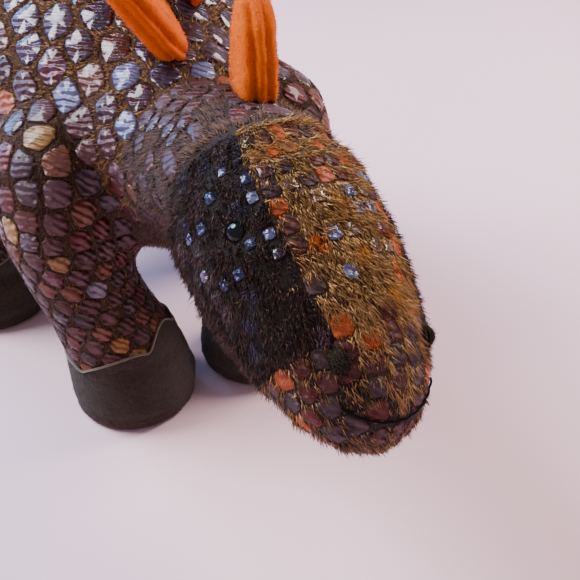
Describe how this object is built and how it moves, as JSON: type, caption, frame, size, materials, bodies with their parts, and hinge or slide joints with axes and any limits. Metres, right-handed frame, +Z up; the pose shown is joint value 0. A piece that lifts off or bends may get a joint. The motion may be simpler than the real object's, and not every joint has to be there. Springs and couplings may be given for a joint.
{
  "type": "stuffed dinosaur",
  "caption": "Stuffed plated dinosaur in foil-scaled pile cloth, with soft orange back plates and tail spikes, suede feet and safety eyes; head, neck, tail and legs flex.",
  "frame": {"origin": "middle of the toy's bounding box, on the surface that its soles stand on", "axes": "+Z up, -Y the way the animal faces, +X to the animal's left"},
  "size_m": [0.1592, 0.3582, 0.1979],
  "materials": {
    "scale_cloth": "brown pile cloth with printed foil scales",
    "face_pile": "dark brown pile with small foil scales",
    "head_pile": "olive-gold long pile with foil patches",
    "under_pile": "dark brown pile",
    "foot_suede": "matt brushed suede cloth",
    "orange_plush": "short orange plush",
    "filling": "white polyester fibre",
    "eye": "polished black plastic",
    "eye_washer": "moulded white plastic",
    "nostril_thread": "black embroidery thread"
  },
  "bodies": {
    "torso": {"back_gusset": "scale_cloth", "belly_panel": "under_pile", "left_flank_panel": "scale_cloth", "right_flank_panel": "scale_cloth", "torso_filling": "filling", "torso_plate_02_right": "orange_plush", "torso_plate_03_left": "orange_plush", "torso_plate_04_right": "orange_plush", "torso_plate_05_left": "orange_plush", "torso_plate_06_right": "orange_plush", "torso_plate_07_left": "orange_plush"},
    "neck": {"neck_filling": "filling", "neck_plate_01_left": "orange_plush", "neck_throat_panel": "under_pile", "neck_upper_panel": "scale_cloth"},
    "head": {"chin_panel": "under_pile", "head_filling": "filling", "head_top_gusset": "head_pile", "left_eye": "eye", "left_eye_washer": "eye_washer", "left_face_panel": "face_pile", "left_nostril_knot": "nostril_thread", "right_eye": "eye", "right_eye_washer": "eye_washer", "right_face_panel": "face_pile", "right_nostril_knot": "nostril_thread"},
    "tail": {"left_tail_spike_1": "orange_plush", "left_tail_spike_2": "orange_plush", "right_tail_spike_1": "orange_plush", "right_tail_spike_2": "orange_plush", "tail_filling": "filling", "tail_left_panel": "scale_cloth", "tail_plate_08_right": "orange_plush", "tail_plate_09_left": "orange_plush", "tail_plate_10_right": "orange_plush", "tail_right_panel": "scale_cloth", "tail_under_panel": "under_pile"},
    "right_foreleg": {"right_fore_foot_cover": "foot_suede", "right_fore_foot_filling": "filling", "right_fore_leg_cover": "scale_cloth", "right_fore_leg_filling": "filling", "right_fore_sole": "foot_suede"},
    "left_foreleg": {"left_fore_foot_cover": "foot_suede", "left_fore_foot_filling": "filling", "left_fore_leg_cover": "scale_cloth", "left_fore_leg_filling": "filling", "left_fore_sole": "foot_suede"},
    "right_hindleg": {"right_hind_foot_cover": "foot_suede", "right_hind_foot_filling": "filling", "right_hind_leg_cover": "scale_cloth", "right_hind_leg_filling": "filling", "right_hind_sole": "foot_suede"},
    "left_hindleg": {"left_hind_foot_cover": "foot_suede", "left_hind_foot_filling": "filling", "left_hind_leg_cover": "scale_cloth", "left_hind_leg_filling": "filling", "left_hind_sole": "foot_suede"}
  },
  "joints": [
    {"name": "neck_turn", "type": "hinge", "parent": "torso", "child": "neck", "pos_m": [0, -0.0709, 0.092], "axis": [0, 0, 1], "range_deg": [-15, 15], "stiffness_Nm_per_rad": 0.3},
    {"name": "head_nod", "type": "hinge", "parent": "neck", "child": "head", "pos_m": [0, -0.1115, 0.1045], "axis": [1, 0, 0], "range_deg": [-15, 15], "stiffness_Nm_per_rad": 0.4},
    {"name": "tail_sway", "type": "hinge", "parent": "torso", "child": "tail", "pos_m": [0, 0.0591, 0.092], "axis": [0, 0, 1], "range_deg": [-18, 18], "stiffness_Nm_per_rad": 0.3},
    {"name": "right_foreleg_swing", "type": "hinge", "parent": "torso", "child": "right_foreleg", "pos_m": [-0.038, -0.0459, 0.086], "axis": [1, 0, 0], "range_deg": [-12, 12], "stiffness_Nm_per_rad": 0.8},
    {"name": "right_hindleg_swing", "type": "hinge", "parent": "torso", "child": "right_hindleg", "pos_m": [-0.0475, 0.0271, 0.078], "axis": [1, 0, 0], "range_deg": [-10, 10], "stiffness_Nm_per_rad": 0.8},
    {"name": "left_foreleg_swing", "type": "hinge", "parent": "torso", "child": "left_foreleg", "pos_m": [0.038, -0.0459, 0.086], "axis": [1, 0, 0], "range_deg": [-12, 12], "stiffness_Nm_per_rad": 0.8},
    {"name": "left_hindleg_swing", "type": "hinge", "parent": "torso", "child": "left_hindleg", "pos_m": [0.0475, 0.0271, 0.078], "axis": [1, 0, 0], "range_deg": [-10, 10], "stiffness_Nm_per_rad": 0.8}
  ]
}
